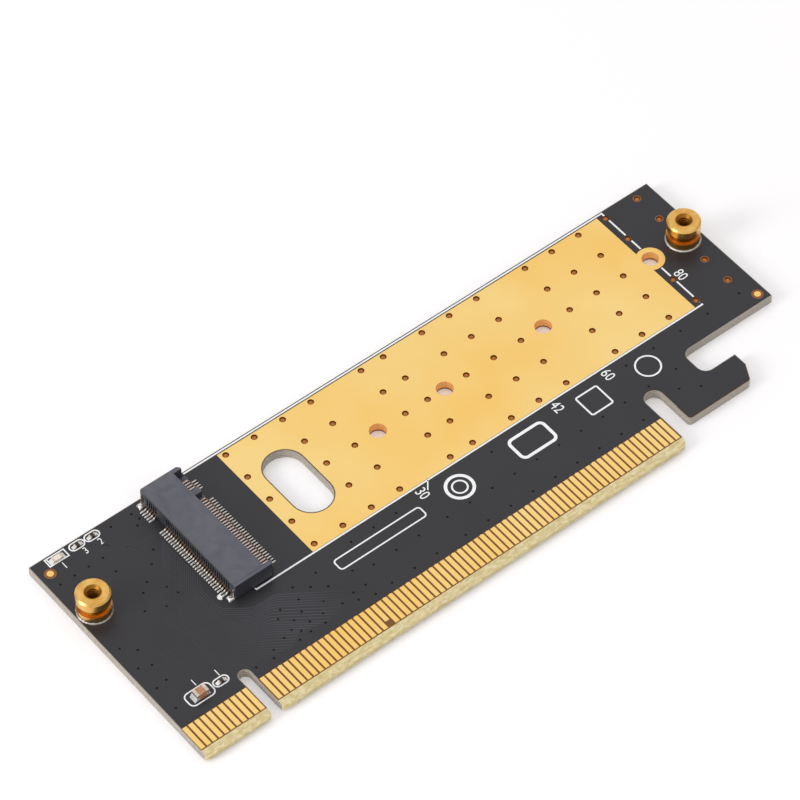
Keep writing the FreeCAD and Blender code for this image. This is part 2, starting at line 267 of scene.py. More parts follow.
def traceText(words, size, place, turn):
    curve = bpy.data.curves.new("numberInk", "FONT")
    curve.body, curve.size, curve.extrude = words, size, inkSizes["thick"] * mm / 2
    curve.resolution_u = 4
    holder = bpy.data.objects.new("numberInk", curve)
    bpy.context.scene.collection.objects.link(holder)
    holder.matrix_world = (Matrix.Translation(place) @ Matrix.Rotation(math.radians(turn), 4, "Z")
                           @ Matrix.Diagonal((inkSizes["numberWidth"], 1, 1, 1)))
    bpy.context.view_layer.update()
    graph = bpy.context.evaluated_depsgraph_get()
    data = bpy.data.meshes.new_from_object(holder.evaluated_get(graph))
    data.transform(holder.matrix_world)
    bpy.data.objects.remove(holder)
    bpy.data.curves.remove(curve)
    return data


def makeLaminate(contactTop):
    # woven glass cloth in epoxy, pressed in layers and routed: grey-beige stripes on the cut, straw yellow
    # on the bevel
    material, tree, shader, place = newMaterial("glassEpoxyLaminate", {"Roughness": 0.6, "IOR": 1.52})
    layers = addNode(tree, "ShaderNodeTexWave",
                     {"bands_direction": "Z", "Scale": waveScale(0.45), "Distortion": 0.9, "Detail": 2.0,
                      "Detail Scale": 1.5}, {"Vector": place})
    fibres = addNoise(tree, place, 0.35, 4.0, Roughness=0.6)
    mixed = addMath(tree, "MULTIPLY_ADD", layers.outputs["Fac"], 0.35, fibres.outputs["Fac"])
    cut = addRamp(tree, mixed.outputs[0], (0.35, "#958d81"), (0.65, "#a89f93"), (0.95, "#c0b8ac"))
    stretched = addNode(tree, "ShaderNodeVectorMath", {"operation": "MULTIPLY", 1: (0.5, 1.0, 1.0)},
                        {0: place})
    strands = addNoise(tree, stretched.outputs[0], 0.4, 4.0, Roughness=0.6)
    straw = addRamp(tree, strands.outputs["Fac"], (0.3, "#c6b27a"), (0.5, "#d6c590"), (0.72, "#ebdfb8"))
    face = addNode(tree, "ShaderNodeSeparateXYZ", {},
                   {0: addNode(tree, "ShaderNodeNewGeometry").outputs["Normal"]})
    slope = addMath(tree, "ABSOLUTE", face.outputs["Z"])
    sloping = addMath(tree, "GREATER_THAN", slope.outputs[0], 0.3)
    onFlat = addMath(tree, "GREATER_THAN", slope.outputs[0], 0.97)
    spot = addNode(tree, "ShaderNodeSeparateXYZ", {}, {0: place})
    lowest = addMath(tree, "LESS_THAN", spot.outputs["Y"], boardLow.y + 0.5 * mm)
    onBevel = addMath(tree, "MAXIMUM", sloping.outputs[0], lowest.outputs[0])
    belowContacts = addMath(tree, "LESS_THAN", spot.outputs["Y"], contactTop)
    between = addMath(tree, "MULTIPLY", onFlat.outputs[0], belowContacts.outputs[0])
    slopeColour = addMix(tree, onBevel.outputs[0], cut.outputs[0], straw.outputs[0])
    flatColour = addMix(tree, onFlat.outputs[0], slopeColour.outputs[2], "#9c9388")
    # the bare flat faces between the edge contacts: amber laminate, painted darker brown as shade
    colour = addMix(tree, between.outputs[0], flatColour.outputs[2], "#774810")
    tree.links.new(colour.outputs[2], shader.inputs["Base Color"])
    addBump(tree, shader, mixed.outputs[0], 0.03, 0.6)
    return material


def makeSolderMask():
    # black lacquer, sprayed and baked: satin charcoal, faintly uneven over the copper
    material, tree, shader, place = newMaterial("blackSolderMask", {"Roughness": 0.42, "IOR": 1.5})
    cloud = addNoise(tree, place, 9, 3.0)
    tint = addRamp(tree, cloud.outputs["Fac"], (0.3, "#201e23"), (0.7, "#242227"))
    tree.links.new(tint.outputs[0], shader.inputs["Base Color"])
    grain = addNoise(tree, place, 0.25, 2.0)
    addBump(tree, shader, grain.outputs["Fac"], 0.01, 0.35)
    return material


def makeMetal(name, low, high, roughness, grainMm, bumpMm, patchMm=6.0, metallic=1.0):
    material, tree, shader, place = newMaterial(name, {"Metallic": metallic, "Roughness": roughness})
    patch = addNoise(tree, place, patchMm, 3.0)
    tint = addRamp(tree, patch.outputs["Fac"], (0.35, low), (0.65, high))
    tree.links.new(tint.outputs[0], shader.inputs["Base Color"])
    grain = addNoise(tree, place, grainMm, 3.0)
    addBump(tree, shader, grain.outputs["Fac"], bumpMm, 0.6)
    return material


def makeTurnedBrass(axis):
    # free-cutting brass off a lathe: fine rings on the face, bright edges
    material, tree, shader, place = newMaterial("turnedBrass" + ("Left" if axis.x < 0 else "Right"),
                                                {"Metallic": 1.0, "Roughness": 0.3})
    moved = addNode(tree, "ShaderNodeVectorMath", {"operation": "SUBTRACT", 1: (axis.x, axis.y, 0.0)},
                    {0: place})
    turned = {"wave_type": "RINGS", "rings_direction": "Z", "Scale": waveScale(0.16), "Distortion": 0.3,
              "Detail": 2.0}
    rings = addNode(tree, "ShaderNodeTexWave", turned, {"Vector": moved.outputs[0]})
    patch = addNoise(tree, place, 1.5, 3.0)
    tint = addRamp(tree, patch.outputs["Fac"], (0.35, "#dba552"), (0.65, "#eec070"))
    # painted shade: the groove round the middle is painted darker and redder
    height = addNode(tree, "ShaderNodeSeparateXYZ", {}, {0: place})
    away = addMath(tree, "SUBTRACT", height.outputs["Z"], topFace + standoffSizes["grooveMiddle"] * mm)
    near = addMath(tree, "ABSOLUTE", away.outputs[0])
    inGroove = addNode(tree, "ShaderNodeMapRange",
                       {1: standoffSizes["grooveHalf"] * 1.04 * mm,
                        2: standoffSizes["grooveHalf"] * 0.9 * mm},
                       {0: near.outputs[0]})
    grooveShade = addRamp(tree, patch.outputs["Fac"], (0.3, "#b56a18"), (0.7, "#c98228"))
    grooved = addMix(tree, inGroove.outputs[0], tint.outputs[0], grooveShade.outputs[0])
    # the tapped hole is painted darker too, as painted shade, and is made rougher
    flat = addNode(tree, "ShaderNodeVectorMath", {"operation": "MULTIPLY", 1: (1.0, 1.0, 0.0)},
                   {0: moved.outputs[0]})
    radius = addNode(tree, "ShaderNodeVectorMath", {"operation": "LENGTH"}, {0: flat.outputs[0]})
    inHole = addNode(tree, "ShaderNodeMapRange",
                     {1: standoffSizes["mouth"] * 1.04 * mm, 2: standoffSizes["mouth"] * 0.9 * mm},
                     {0: radius.outputs["Value"]})
    colour = addMix(tree, inHole.outputs[0], grooved.outputs[2], "#a06c28")
    tree.links.new(colour.outputs[2], shader.inputs["Base Color"])
    matt = addNode(tree, "ShaderNodeMapRange", {3: 0.3, 4: 0.5}, {0: inHole.outputs[0]})
    tree.links.new(matt.outputs[0], shader.inputs["Roughness"])
    addBump(tree, shader, rings.outputs["Fac"], 0.004, 0.5)
    return material


def makeContactMetal(name, joined, bright, bent):
    # stamped phosphor bronze: bright tin where the solder has wetted it, bronze on the bends above; the rear
    # row's dark brown there is partly painted shade
    material, tree, shader, place = newMaterial(name, {"Metallic": 0.8, "Roughness": 0.38})
    height = addNode(tree, "ShaderNodeSeparateXYZ", {}, {0: place})
    wetted = addNode(tree, "ShaderNodeMapRange", {1: topFace + joined[0] * mm, 2: topFace + joined[1] * mm},
                     {0: height.outputs["Z"]})
    tint = addRamp(tree, wetted.outputs[0], (0.0, bright), (1.0, bent))
    tree.links.new(tint.outputs[0], shader.inputs["Base Color"])
    grain = addNoise(tree, place, 0.12, 2.0)
    addBump(tree, shader, grain.outputs["Fac"], 0.01, 0.5)
    return material


def makePolymer():
    # glass-filled liquid crystal polymer, moulded: matt slate grey with faint flow marks; painted shade makes
    # its walls and sloped edges darker than its top
    material, tree, shader, place = newMaterial("mouldedPolymer", {"Roughness": 0.48, "IOR": 1.6})
    grain = addNoise(tree, place, 0.14, 4.0)
    flow = addNoise(tree, place, 2.6, 3.0, Distortion=0.8)
    mixed = addMath(tree, "MULTIPLY_ADD", grain.outputs["Fac"], 0.25, flow.outputs["Fac"])
    top = addRamp(tree, mixed.outputs[0], (0.45, "#484a55"), (0.62, "#4f505b"), (0.8, "#57565f"))
    face = addNode(tree, "ShaderNodeSeparateXYZ", {},
                   {0: addNode(tree, "ShaderNodeNewGeometry").outputs["Normal"]})
    upward = addNode(tree, "ShaderNodeMapRange", {1: 0.8, 2: 0.97}, {0: face.outputs["Z"]})
    spot = addNode(tree, "ShaderNodeSeparateXYZ", {}, {0: place})
    fromSeam = addMath(tree, "SUBTRACT", spot.outputs["Y"],
                       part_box("m2_housing")[0].y + seamSizes["inset"] * mm)
    offSeam = addMath(tree, "ABSOLUTE", fromSeam.outputs[0])
    seam = addNode(tree, "ShaderNodeMapRange", {1: 0.0, 2: seamSizes["half"] * mm}, {0: offSeam.outputs[0]})
    # painted shade: faces that don't face up take the darker colour, which also draws the parting line
    light = addMath(tree, "MINIMUM", upward.outputs[0], seam.outputs[0])
    colour = addMix(tree, light.outputs[0], "#34353d", top.outputs[0])
    tree.links.new(colour.outputs[2], shader.inputs["Base Color"])
    addBump(tree, shader, grain.outputs["Fac"], 0.006, 0.5)
    return material


def makeCoatedCopper():
    # the same lacquer where it lies thin over copper: a shade lighter than round it, with painted sheen
    # strongest in the middle of the card and fading towards both ends
    material, tree, shader, place = newMaterial("lacquerOverCopper", {"Roughness": 0.5})
    spot = addNode(tree, "ShaderNodeSeparateXYZ", {}, {0: place})
    graded = {1: boardLow.x + coatedSizes["start"] * mm, 2: boardLow.x + coatedSizes["end"] * mm}
    along = addNode(tree, "ShaderNodeMapRange", graded, {0: spot.outputs["X"]})
    tint = addRamp(tree, along.outputs[0], (0.0, "#27252a"), (0.5, "#3e3c42"), (0.7, "#3c3a40"),
                   (1.0, "#252328"))
    tree.links.new(tint.outputs[0], shader.inputs["Base Color"])
    return material


def makePlain(name, low, high, roughness, grainMm, bumpMm, extra=None):
    settings = {"Roughness": roughness}
    settings.update(extra or {})
    material, tree, shader, place = newMaterial(name, settings)
    grain = addNoise(tree, place, grainMm, 4.0)
    tint = addRamp(tree, grain.outputs["Fac"], (0.35, low), (0.65, high))
    tree.links.new(tint.outputs[0], shader.inputs["Base Color"])
    addBump(tree, shader, grain.outputs["Fac"], bumpMm, 0.5)
    return material


# in mm: the groove's middle above the lacquer, half its height, and the tapped hole's mouth from its axis
standoffSizes = {"grooveMiddle": 1.9, "grooveHalf": 0.65, "mouth": 1.3}
coatedSizes = {"start": 13, "end": 31}    # where the traces' tint is graded, mm from the card's left end
contactLow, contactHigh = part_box("edge_contacts_top")
boardLow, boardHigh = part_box("circuit_board")
maskLow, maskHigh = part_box("solder_mask_top")
padLow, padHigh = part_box("thermal_pad")
topFace = maskHigh.z

laminate = makeLaminate(contactHigh.y)
solderMask = makeSolderMask()
# nickel under immersion gold: satin, warm peach yellow
goldPlate = makeMetal("immersionGold", "#ffd177", "#ffde92", 0.42, 0.2, 0.004, 22.0)
# copper barrel under thin gold: orange; brown where it is deep, in the foot of each screw hole, as painted
# shade
platedBarrel = makeMetal("platedBarrel", "#f6bb70", "#fcca84", 0.5, 0.3, 0.01, 2.0, 0.65)
# the small holes' barrels: copper, painted dark brown as shade
viaCopperShade = makeMetal("viaCopperShade", "#9a6428", "#b07a38", 0.5, 0.3, 0.01, 2.0)
# copper-brown resin that plugs the small holes, cured dull
holePlug = makePlain("curedPlug", "#a45c1c", "#b56c28", 0.6, 0.3, 0.02)
# painted shade in the holes: dark brown, on the ring round each plug and on the screw holes' deep feet
holeShade = makePlain("holeShade", "#7a4612", "#8c541c", 0.6, 0.2, 0.02)
# rear row: dark brown above the solder, partly bronze and partly painted shade on the risers
rearContact = makeContactMetal("stampedBronzeRear", (0.12, 0.32), "#fff8f0", "#5f4730")
frontContact = makeContactMetal("stampedBronzeFront", (0.1, 0.5), "#c9c3bb", "#d0bab0")
# tin-silver solder, reflowed: bright and slightly lumpy
solderMetal = makeMetal("reflowedSolder", "#dcdad8", "#f6f3ef", 0.4, 0.3, 0.02, 0.8)
padSolder = makeMetal("padSolder", "#f4f2ef", "#ffffff", 0.45, 0.3, 0.02, 0.8, 0.4)
dullSolder = makeMetal("dullSolder", "#aaa7a5", "#cbc7c3", 0.48, 0.25, 0.03, 0.7)
tinnedCap = makeMetal("tinnedCap", "#cbbfb4", "#e8dcd0", 0.4, 0.15, 0.015, 0.6)
# the mould's parting line, in mm inside the socket's near end
seamSizes = {"inset": 0.55, "half": 0.1}
connectorPlastic = makePolymer()
# clear epoxy over the chip, moulded: milky and pale
ledResin = makePlain("clearEpoxy", "#e2d8c6", "#f0e9dc", 0.3, 0.6, 0.003,
                     {"Subsurface Weight": 0.2, "Subsurface Radius": (0.0005, 0.0005, 0.0004)})
# dark glass glaze over alumina, printed and fired
resistorGlaze = makePlain("blackGlaze", "#241a17", "#33251f", 0.3, 0.3, 0.004)
# fired barium titanate: matt milk-chocolate brown
capacitorCeramic = makePlain("firedCeramic", "#a5714f", "#bb8a66", 0.5, 0.25, 0.01)
# white epoxy ink, screen printed: flat, slightly rough edge
whiteInk = makePlain("whiteInk", "#e9ecea", "#f6f7f6", 0.55, 0.3, 0.004)
# lacquer sunk into a covered via: darker than the rest
viaLacquer = makePlain("sunkLacquer", "#100f11", "#161517", 0.75, 0.3, 0.004, {"Specular IOR Level": 0.2})
coatedCopper = makeCoatedCopper()
# painted shade between the socket's close feet: a nearly black sheet
gapShade = makePlain("gapShade", "#0b0908", "#13100d", 0.8, 0.2, 0.01,
                           {"Specular IOR Level": 0.15})
bareEdge = makePlain("bareLaminateEdge", "#65573a", "#7a6a48", 0.6, 0.2, 0.01)
openLaminate = makePlain("openLaminate", "#7a4a24", "#8f5a30", 0.55, 0.2, 0.01)
brassLeft = makeTurnedBrass(centreOf("standoff_left"))
brassRight = makeTurnedBrass(centreOf("standoff_right"))

useOn(laminate, "circuit_board")
useOn(solderMask, "solder_mask_top", "solder_mask_bottom")
useOn(goldPlate, "edge_contacts_top", "edge_contacts_bottom", "thermal_pad", "screw_hole_rings",
      "alignment_marks")
useOn(connectorPlastic, "m2_housing")
useOn(rearContact, "m2_upper_contacts")
useOn(tinnedCap, "m2_anchor_near", "m2_anchor_far")
useOn(frontContact, "m2_lower_contacts")
useOn(brassLeft, "standoff_left")
useOn(brassRight, "standoff_right")
useOn(solderMetal, "standoff_solder_left", "standoff_solder_right", "part_solder")
useOn(ledResin, "led_body")
useOn(capacitorCeramic, "capacitor_body")
useOn(tinnedCap, "led_terminals", "capacitor_terminals")
for number in (1, 2, 3):
    useOn(resistorGlaze, f"resistor_{number}_body")
    useOn(tinnedCap, f"resistor_{number}_terminals")
print("materials done")

slotSizes = {"across": 6.25, "along": 12.3, "rim": 0.18, "slack": 0.1}
holeSizes = {"viaRadius": 0.5, "screwRadius": 1.3, "markOpening": 0.9, "markRadius": 0.505,
             "markThick": 0.004, "wall": 0.03, "rimWidth": 0.14, "rimThick": 0.006, "plugDepth": 0.12,
             "plugShare": 0.68, "foot": 0.28}
viaCentres = roundHoles("circuit_board", holeSizes["viaRadius"])
screwCentres = roundHoles("circuit_board", holeSizes["screwRadius"])
print("plated holes", len(viaCentres), "screw holes", len(screwCentres))


def makeBarrels(name, centres, radiusMm, bottom, material, top=topFace - 0.002 * mm):
    mesh = bmesh.new()
    outer, inner = (radiusMm - 0.002) * mm, (radiusMm - holeSizes["wall"]) * mm
    for centre in centres:
        layTube(mesh, centre, [(outer, bottom), (outer, top), (inner, top), (inner, bottom)])
    makePiece(name, mesh, material, True)


def makePlugs():
    # the small holes are filled nearly flush: a brown disc with a ring sunk round it, painted darker as shade
    radius = (holeSizes["viaRadius"] - holeSizes["wall"]) * mm
    ledge = radius * holeSizes["plugShare"]
    high = topFace - holeSizes["plugDepth"] * mm
    ringSection = [(radius, high - 0.5 * mm), (radius, high - 0.12 * mm), (ledge, high - 0.03 * mm),
                   (ledge, high - 0.5 * mm)]
    discSection = [(ledge, high - 0.4 * mm), (ledge, high - 0.02 * mm), (ledge * 0.8, high),
                   (ledge * 0.3, high - 0.01 * mm)]
    shoulders, discs = bmesh.new(), bmesh.new()
    for centre in viaCentres:
        layDisc(shoulders, centre, ringSection)
        loops = layDisc(discs, centre, discSection)
        discs.faces.new(loops[-1])
        discs.faces.new(loops[0])
    makePiece("viaShoulders", shoulders, holeShade, True)
    makePiece("viaPlugs", discs, holePlug, True)


makePlugs()
screwFoot = boardLow.z + holeSizes["foot"] * mm
makeBarrels("viaBarrels", viaCentres, holeSizes["viaRadius"], boardLow.z + 0.05 * mm, viaCopperShade)
makeBarrels("screwBarrels", screwCentres, holeSizes["screwRadius"], screwFoot, platedBarrel)
# the deep foot of each screw hole's barrel: painted shade
makeBarrels("screwBarrelFeet", screwCentres, holeSizes["screwRadius"], boardLow.z + 0.01 * mm, holeShade,
            screwFoot)


def makeRims():
    # copper shows through the thin lacquer round the holes that stand outside the pad
    mesh = bmesh.new()
    inner = holeSizes["viaRadius"] * mm
    outer = inner + holeSizes["rimWidth"] * mm
    high = topFace + holeSizes["rimThick"] * mm
    for centre in viaCentres:
        if centre.x > padHigh.x - 2 * mm:
            layTube(mesh, centre, [(outer, topFace), (inner, high), (inner - 0.01 * mm, topFace)])
    makePiece("viaRims", mesh, openLaminate, True)


def makeMarkOpenings():
    # a ring of bare laminate round each alignment mark
    mesh = bmesh.new()
    outer, inner = (holeSizes["markOpening"] - 0.01) * mm, holeSizes["markRadius"] * mm
    low = maskLow.z
    high = low + holeSizes["markThick"] * mm
    for centre in roundHoles("solder_mask_top", holeSizes["markOpening"]):
        layTube(mesh, centre, [(outer, low), (outer, high), (inner, high), (inner, low)])
    makePiece("markOpenings", mesh, openLaminate)


def makeSlotRim():
    # a bare edge of laminate left round the cooling slot
    mesh = bmesh.new()
    slack, rim = slotSizes["slack"] * mm, slotSizes["rim"] * mm
    for points in islandsOf("circuit_board", lambda face: abs(face.normal.z) < 0.1):
        low, high = boxOf(points)
        size = high - low
        acrossFits = abs(size.x - slotSizes["across"] * mm) < slack
        alongFits = abs(size.y - slotSizes["along"] * mm) < slack
        if acrossFits and alongFits:
            turned = pill(low.y - rim / 2, high.y + rim / 2, low.x - rim / 2, high.x + rim / 2, 24)
            layStroke(mesh, [(p.y, p.x) for p in turned], rim - 0.02 * mm, topFace - 0.01 * mm,
                      topFace + 0.004 * mm, True)
    makePiece("slotRim", mesh, bareEdge)


makeRims()
makeMarkOpenings()
makeSlotRim()

inkSizes = {"line": 0.26, "thin": 0.2, "thick": 0.012, "numberHeight": 1.65, "partNumber": 1.15,
            "numberWidth": 0.8, "below": 0.2, "above": 0.3, "clearHole": 0.66, "clearRing": 2.3,
            "shortest": 0.3, "startGap": 1.7, "pastHole": 0.15, "numberBelow": 0.65,
            "lastNumberBelow": 4.1, "capitalShare": 0.7, "dotRadius": 0.48, "dotAside": 0.47, "dotAlong": 1.5}
inkLow, inkHigh = topFace, topFace + inkSizes["thick"] * mm


def addPart(mesh, points, width, closed=True):
    layStroke(mesh, points, width * mm, inkLow, inkHigh, closed)


def boxAround(name, left, right, low, high):
    a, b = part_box(name)
    return a.x - left * mm, b.x + right * mm, a.y - low * mm, b.y + high * mm


def roundedBox(x0, x1, y0, y1, radius, steps=5):
    corners = ((x1 - radius, y0 + radius), (x1 - radius, y1 - radius), (x0 + radius, y1 - radius),
               (x0 + radius, y0 + radius))
    points = []
    for i, corner in enumerate(corners):
        points += arcPoints(corner, radius, 90 * i - 90, 90 * i, steps)
    return points


def makePrintedFrame():
    # the line round the drive's place: it breaks at the last screw ring and at the holes that it meets
    mesh = bmesh.new()
    width = inkSizes["line"] * mm
    bottom, top = padLow.y - inkSizes["below"] * mm, padHigh.y + inkSizes["above"] * mm
    lastHole = screwCentres[-1]
    right = lastHole.x + inkSizes["pastHole"] * mm
    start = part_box("m2_anchor_near")[1].x + inkSizes["startGap"] * mm
    lower = [(start - 0.05 * mm, bottom + 0.28 * mm), (start + 0.05 * mm, bottom), (right, bottom),
             (right, bottom + 0.5 * mm)]
    upper = [(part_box("m2_housing")[1].x + 0.3 * mm, top), (right, top), (right, top - 0.6 * mm)]
    layStroke(mesh, lower, width, inkLow, inkHigh)
    layStroke(mesh, upper, width, inkLow, inkHigh)
    breaks = [(c.y, inkSizes["clearHole"] * mm) for c in viaCentres if abs(c.x - lastHole.x) < 0.5 * mm]
    breaks = sorted(breaks + [(lastHole.y, inkSizes["clearRing"] * mm)])
    lows = [bottom + 0.2 * mm] + [y + clear for y, clear in breaks]
    highs = [y - clear for y, clear in breaks] + [top - 0.2 * mm]
    for low, high in zip(lows, highs):
        if high - low > inkSizes["shortest"] * mm:
            layStroke(mesh, [(right, low), (right, high)], width, inkLow, inkHigh)
    first = screwCentres[0].x
    tick = [(first - 0.1 * mm, bottom), (first - 1.2 * mm, bottom - 1.4 * mm)]
    layStroke(mesh, tick, width * 0.75, inkLow, inkHigh)
    makePiece("printedFrame", mesh, whiteInk)


def makePartOutlines():
    mesh = bmesh.new()
    thin = inkSizes["thin"]
    x0, x1, y0, y1 = boxAround("led_terminals", 0.77, 0.8, 0.1, 0.43)
    bar = x0 + 0.3 * mm
    addPart(mesh, [(x0, y0), (x1, y0), (x1, y1), (x0, y1)], thin)
    addPart(mesh, [(bar, y0 + 0.1 * mm), (bar, y1 - 0.1 * mm)], thin * 0.8, False)
    for number in (1, 2, 3):
        x0, x1, y0, y1 = boxAround(f"resistor_{number}_terminals", 0.68, 0.68, 0.2, 0.52)
        addPart(mesh, pill(x0, x1, y0, y1), thin)
    x0, x1, y0, y1 = boxAround("capacitor_terminals", 1.05, 1.05, 0.3, 0.72)
    addPart(mesh, roundedBox(x0, x1, y0, y1, 0.75 * mm), thin)
    makePiece("printedPartOutlines", mesh, whiteInk)


def makeNumbers():
    # the drive lengths that the screw holes are for
    lengths = (30, 42, 60, 80)
    mesh = bmesh.new()
    size = inkSizes["numberHeight"] * mm / inkSizes["capitalShare"]
    middle = inkHigh - inkSizes["thick"] * mm / 2
    shifts = (-2.9, 9.3, 0.6, 0.65)               # from each screw hole to the foot of its number
    for centre, length, shift in zip(screwCentres, lengths, shifts):
        last = length == lengths[-1]
        x = centre.x + shift * mm
        y = padLow.y - inkSizes["numberBelow"] * mm
        if last:
            y = centre.y - inkSizes["lastNumberBelow"] * mm
        data = traceText(str(length), size, Vector((x, y, middle)), -90)
        mesh.from_mesh(data)
        bpy.data.meshes.remove(data)
    makePiece("printedNumbers", mesh, whiteInk)


# the digit by each small part: how far to the right of the part's middle its foot starts, and how far above
# the part's upper edge, or below its lower edge where that is negative
partDigits = [
    (1, "led_terminals", -0.2, -1.65),
    (1, "resistor_1_terminals", 0.1, 0.75),
    (2, "resistor_2_terminals", 0.1, -1.6),
    (3, "resistor_3_terminals", 0.1, -1.6),
    (1, "capacitor_terminals", 0.2, 1.05),
]


def makePartNumbers():
    # a plain digit beside each small part
    mesh = bmesh.new()
    size = inkSizes["partNumber"] * mm / inkSizes["capitalShare"]
    middle = inkHigh - inkSizes["thick"] * mm / 2
    for number, name, aside, away in partDigits:
        low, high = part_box(name)
        edge = high.y if away > 0 else low.y
        data = traceText(str(number), size,
                         Vector((centreOf(name).x + aside * mm, edge + away * mm, middle)), 0)
        mesh.from_mesh(data)
        bpy.data.meshes.remove(data)
    makePiece("printedPartNumbers", mesh, whiteInk)


makePrintedFrame()
makePartOutlines()
makeNumbers()
makePartNumbers()

# plain printed shapes in a row below the heat pad, in mm, measured along from the first screw hole
blankSizes = {
    "level": 3.95,
    # left and right ends, part below and part above the row's level, corner radius, line
    "panels": [(-19.0, -4.0, 1.0, 0.9, 0.5, 0.22), (12.6, 18.7, 1.9, 1.9, 0.8, 0.484),
               (25.0, 28.8, 1.9, 1.9, 0.3, 0.264)],
    # middle, radius, line
    "rings": [(2.6, 2.0, 0.484), (2.6, 1.1, 0.264), (36.8, 1.85, 0.264)],
}


def makeBlankFields():
    # a long blank panel, two rings one in the other, two squares and a ring
    mesh = bmesh.new()
    first = screwCentres[0].x
    base = padLow.y - blankSizes["level"] * mm
    for left, right, below, above, corner, line in blankSizes["panels"]:
        points = roundedBox(first + left * mm, first + right * mm, base - below * mm, base + above * mm,
                            corner * mm)
        addPart(mesh, points, line)
    for middle, radius, line in blankSizes["rings"]:
        points = arcPoints((first + middle * mm, base), radius * mm, 0, 360, 40)
        addPart(mesh, points[:-1], line)
    makePiece("printedBlankFields", mesh, whiteInk)


def makePinOneDot():
    # half a dot beside pin 1 of the socket
    mesh = bmesh.new()
    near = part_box("m2_anchor_near")[0]
    middle = (near.x - inkSizes["dotAside"] * mm, near.y + inkSizes["dotAlong"] * mm)
    half = arcPoints(middle, inkSizes["dotRadius"] * mm, 55, 265, 14)
    low = [mesh.verts.new((p.x, p.y, inkLow)) for p in half]
    high = [mesh.verts.new((p.x, p.y, inkHigh)) for p in half]
    mesh.faces.new(low)
    mesh.faces.new(high)
    for i in range(len(half)):
        j = (i + 1) % len(half)
        mesh.faces.new((low[i], low[j], high[j], high[i]))
    makePiece("printedPinOneDot", mesh, whiteInk)


makeBlankFields()
makePinOneDot()
print("print done")

# what lies under the lacquer, in mm from the card's lower left corner: a nest of traces between these lines,
# each given with its place in the nest, and a few short bundles as (corners, count, pitch)
traceSizes = {"width": 0.2, "height": 0.03, "sink": 0.01, "bend": 0.9}
nestLines = [
    (0, [(17.1, 24.1), (16.1, 22.7), (16.1, 18.3), (19.7, 15.5), (23.3, 15.5), (32.0, 9.2)]),
    (5, [(17.1, 26.7), (14.1, 22.7), (14.4, 17.4), (18.7, 14.0), (21.8, 14.0), (29.4, 8.4)]),
    (10, [(17.1, 28.8), (12.3, 22.4), (12.7, 16.4), (17.6, 12.7), (19.7, 12.3), (26.3, 7.4)]),
    (15, [(17.1, 30.7), (10.8, 22.4), (12.1, 14.9), (16.8, 11.2), (18.3, 10.9), (21.9, 8.3)]),
    (20, [(17.1, 31.8), (10.0, 22.4), (11.3, 13.3), (14.3, 10.9), (16.2, 9.4), (19.6, 7.0)]),
    (24, [(17.1, 32.6), (9.4, 22.4), (10.5, 11.9), (12.0, 10.6), (13.5, 9.4), (15.0, 8.2)]),
]
shortTraces = [
    ([(5.3, 17.4), (5.7, 14.2), (8.2, 10.1)], 4, 0.4),
    ([(9.6, 37.0), (12.3, 34.5), (13.0, 32.9)], 2, 0.45),
    ([(16.6, 34.4), (14.2, 34.3), (12.4, 35.2), (10.5, 37.4)], 2, 0.4),
]


def cardPoint(x, y):
    return Vector((boardLow.x + x * mm, boardLow.y + y * mm))


def shiftedLine(points, offset):
    # the same line moved sideways, with its corners kept sharp
    moved = []
    for i, here in enumerate(points):
        into = (here - points[i - 1]).normalized() if i else (points[1] - here).normalized()
        out = (points[i + 1] - here).normalized() if i < len(points) - 1 else into
        side = Vector((-into.y - out.y, into.x + out.x)).normalized()
        moved.append(here + side * offset / max(0.4, side.dot(Vector((-into.y, into.x)))))
    return moved


def bentLine(points, reach, steps=6):
    # every corner eased into a curve that starts and ends this far from it
    line = [points[0]]
    for before, here, after in zip(points, points[1:], points[2:]):
        back = min(reach, (before - here).length * 0.45)
        on = min(reach, (after - here).length * 0.45)
        a, b = here + (before - here).normalized() * back, here + (after - here).normalized() * on
        line += [a * (1 - t) ** 2 + here * 2 * t * (1 - t) + b * t * t
                 for t in (k / steps for k in range(steps + 1))]
    return line + [points[-1]]


def nestedLine(number):
    for (first, lower), (last, upper) in zip(nestLines, nestLines[1:]):
        if number <= last:
            share = (number - first) / (last - first)
            return [cardPoint(*a) * (1 - share) + cardPoint(*b) * share for a, b in zip(lower, upper)]


def makeTraces():
    mesh = bmesh.new()
    low, high = topFace - traceSizes["sink"] * mm, topFace + traceSizes["height"] * mm
    lines = [nestedLine(number) for number in range(nestLines[-1][0] + 1)]
    for points, count, pitch in shortTraces:
        lines += [shiftedLine([cardPoint(x, y) for x, y in points], i * pitch * mm) for i in range(count)]
    for line in lines:
        layStroke(mesh, bentLine(line, traceSizes["bend"] * mm), traceSizes["width"] * mm, low, high,
                  crown=1.0)
    makePiece("coatedTraces", mesh, coatedCopper, True)


coveredSizes = {"radius": 0.2, "rise": 0.042, "dip": 0.036}
